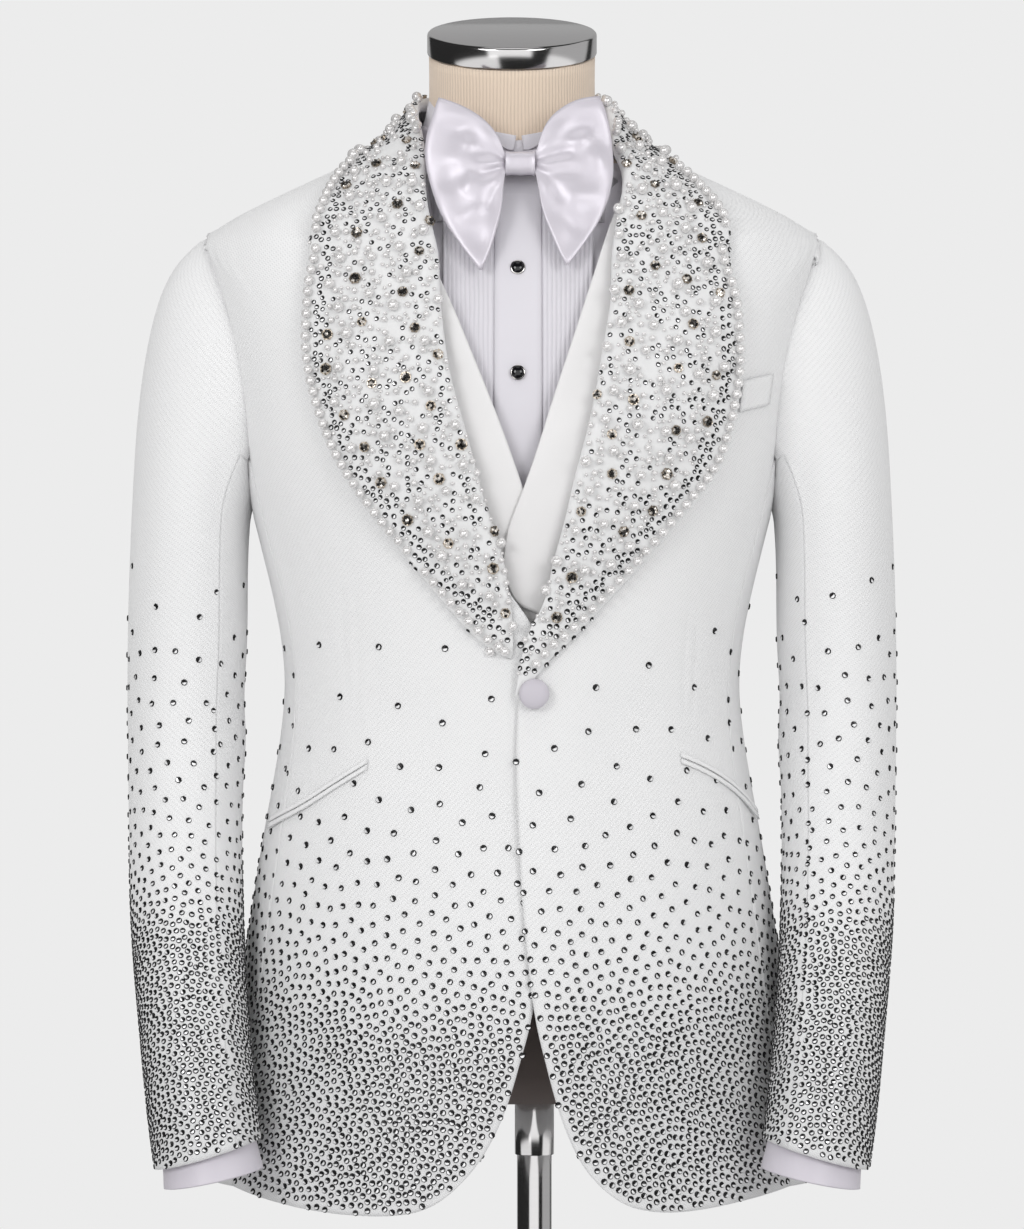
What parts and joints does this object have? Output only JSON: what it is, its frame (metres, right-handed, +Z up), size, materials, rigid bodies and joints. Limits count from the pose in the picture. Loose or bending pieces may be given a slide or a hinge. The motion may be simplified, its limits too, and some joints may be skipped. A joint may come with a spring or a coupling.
{
  "type": "tuxedo on a dress form and stand",
  "caption": "Single-button shawl-collar dinner suit in white, with waistcoat, pleated shirt and bow tie, worn by a limbless dress form on a pole stand.",
  "frame": {"origin": "on the floor under the middle of the bounding box, which is the middle of the garment and base", "axes": "+Z up, the front faces -Y, the wearer's left is on +X"},
  "size_m": [0.551, 0.344, 1.4947],
  "materials": {
    "bow_knot": "lustrous white satin",
    "bow_lobe_left": "lustrous white satin",
    "bow_lobe_right": "lustrous white satin",
    "bow_neck_band": "lustrous white satin",
    "breast_welt": "white diagonal-weave dinner-jacket cloth",
    "form_body": "beige ribbed jersey over a padded form",
    "form_cap": "brushed and polished metal",
    "hip_jet_lower_left": "white diagonal-weave dinner-jacket cloth",
    "hip_jet_lower_right": "white diagonal-weave dinner-jacket cloth",
    "hip_jet_upper_left": "white diagonal-weave dinner-jacket cloth",
    "hip_jet_upper_right": "white diagonal-weave dinner-jacket cloth",
    "jacket_back_left": "white diagonal-weave dinner-jacket cloth",
    "jacket_back_right": "white diagonal-weave dinner-jacket cloth",
    "jacket_button": "lustrous white satin",
    "jacket_front_left": "white diagonal-weave dinner-jacket cloth",
    "jacket_front_right": "white diagonal-weave dinner-jacket cloth",
    "jacket_side_left": "white diagonal-weave dinner-jacket cloth",
    "jacket_side_right": "white diagonal-weave dinner-jacket cloth",
    "jacket_sleeve_under_left": "white diagonal-weave dinner-jacket cloth",
    "jacket_sleeve_under_right": "white diagonal-weave dinner-jacket cloth",
    "jacket_sleeve_upper_left": "white diagonal-weave dinner-jacket cloth",
    "jacket_sleeve_upper_right": "white diagonal-weave dinner-jacket cloth",
    "shawl_collar_left": "white cloth under pearls and crystals",
    "shawl_collar_right": "white cloth under pearls and crystals",
    "shirt_back_left": "fine white cotton",
    "shirt_back_right": "fine white cotton",
    "shirt_bib_left": "fine white cotton",
    "shirt_bib_right": "fine white cotton",
    "shirt_collar_stand": "fine white cotton",
    "shirt_cuff_left": "fine white cotton",
    "shirt_cuff_right": "fine white cotton",
    "shirt_front_left": "fine white cotton",
    "shirt_front_right": "fine white cotton",
    "shirt_placket": "fine white cotton",
    "shirt_sleeve_left": "fine white cotton",
    "shirt_sleeve_right": "fine white cotton",
    "shirt_stud_lower": "glossy black",
    "shirt_stud_upper": "glossy black",
    "shirt_wing_left": "fine white cotton",
    "shirt_wing_right": "fine white cotton",
    "stand_base": "brushed and polished metal",
    "stand_lower_tube": "brushed and polished metal",
    "stand_upper_tube": "brushed and polished metal",
    "waistcoat_back_left": "smooth off-white satin-backed cloth",
    "waistcoat_back_right": "smooth off-white satin-backed cloth",
    "waistcoat_front_left": "smooth off-white satin-backed cloth",
    "waistcoat_front_right": "smooth off-white satin-backed cloth",
    "waistcoat_lapel_left": "smooth off-white satin-backed cloth",
    "waistcoat_lapel_right": "smooth off-white satin-backed cloth"
  },
  "bodies": {
    "root": {"bow_knot": "bow_knot", "bow_lobe_left": "bow_lobe_left", "bow_lobe_right": "bow_lobe_right", "bow_neck_band": "bow_neck_band", "breast_welt": "breast_welt", "form_body": "form_body", "form_cap": "form_cap", "hip_jet_lower_left": "hip_jet_lower_left", "hip_jet_lower_right": "hip_jet_lower_right", "hip_jet_upper_left": "hip_jet_upper_left", "hip_jet_upper_right": "hip_jet_upper_right", "jacket_back_left": "jacket_back_left", "jacket_back_right": "jacket_back_right", "jacket_button": "jacket_button", "jacket_front_left": "jacket_front_left", "jacket_front_right": "jacket_front_right", "jacket_side_left": "jacket_side_left", "jacket_side_right": "jacket_side_right", "jacket_sleeve_under_left": "jacket_sleeve_under_left", "jacket_sleeve_under_right": "jacket_sleeve_under_right", "jacket_sleeve_upper_left": "jacket_sleeve_upper_left", "jacket_sleeve_upper_right": "jacket_sleeve_upper_right", "shawl_collar_left": "shawl_collar_left", "shawl_collar_right": "shawl_collar_right", "shirt_back_left": "shirt_back_left", "shirt_back_right": "shirt_back_right", "shirt_bib_left": "shirt_bib_left", "shirt_bib_right": "shirt_bib_right", "shirt_collar_stand": "shirt_collar_stand", "shirt_cuff_left": "shirt_cuff_left", "shirt_cuff_right": "shirt_cuff_right", "shirt_front_left": "shirt_front_left", "shirt_front_right": "shirt_front_right", "shirt_placket": "shirt_placket", "shirt_sleeve_left": "shirt_sleeve_left", "shirt_sleeve_right": "shirt_sleeve_right", "shirt_stud_lower": "shirt_stud_lower", "shirt_stud_upper": "shirt_stud_upper", "shirt_wing_left": "shirt_wing_left", "shirt_wing_right": "shirt_wing_right", "stand_base": "stand_base", "stand_lower_tube": "stand_lower_tube", "stand_upper_tube": "stand_upper_tube", "waistcoat_back_left": "waistcoat_back_left", "waistcoat_back_right": "waistcoat_back_right", "waistcoat_front_left": "waistcoat_front_left", "waistcoat_front_right": "waistcoat_front_right", "waistcoat_lapel_left": "waistcoat_lapel_left", "waistcoat_lapel_right": "waistcoat_lapel_right"}
  },
  "joints": []
}
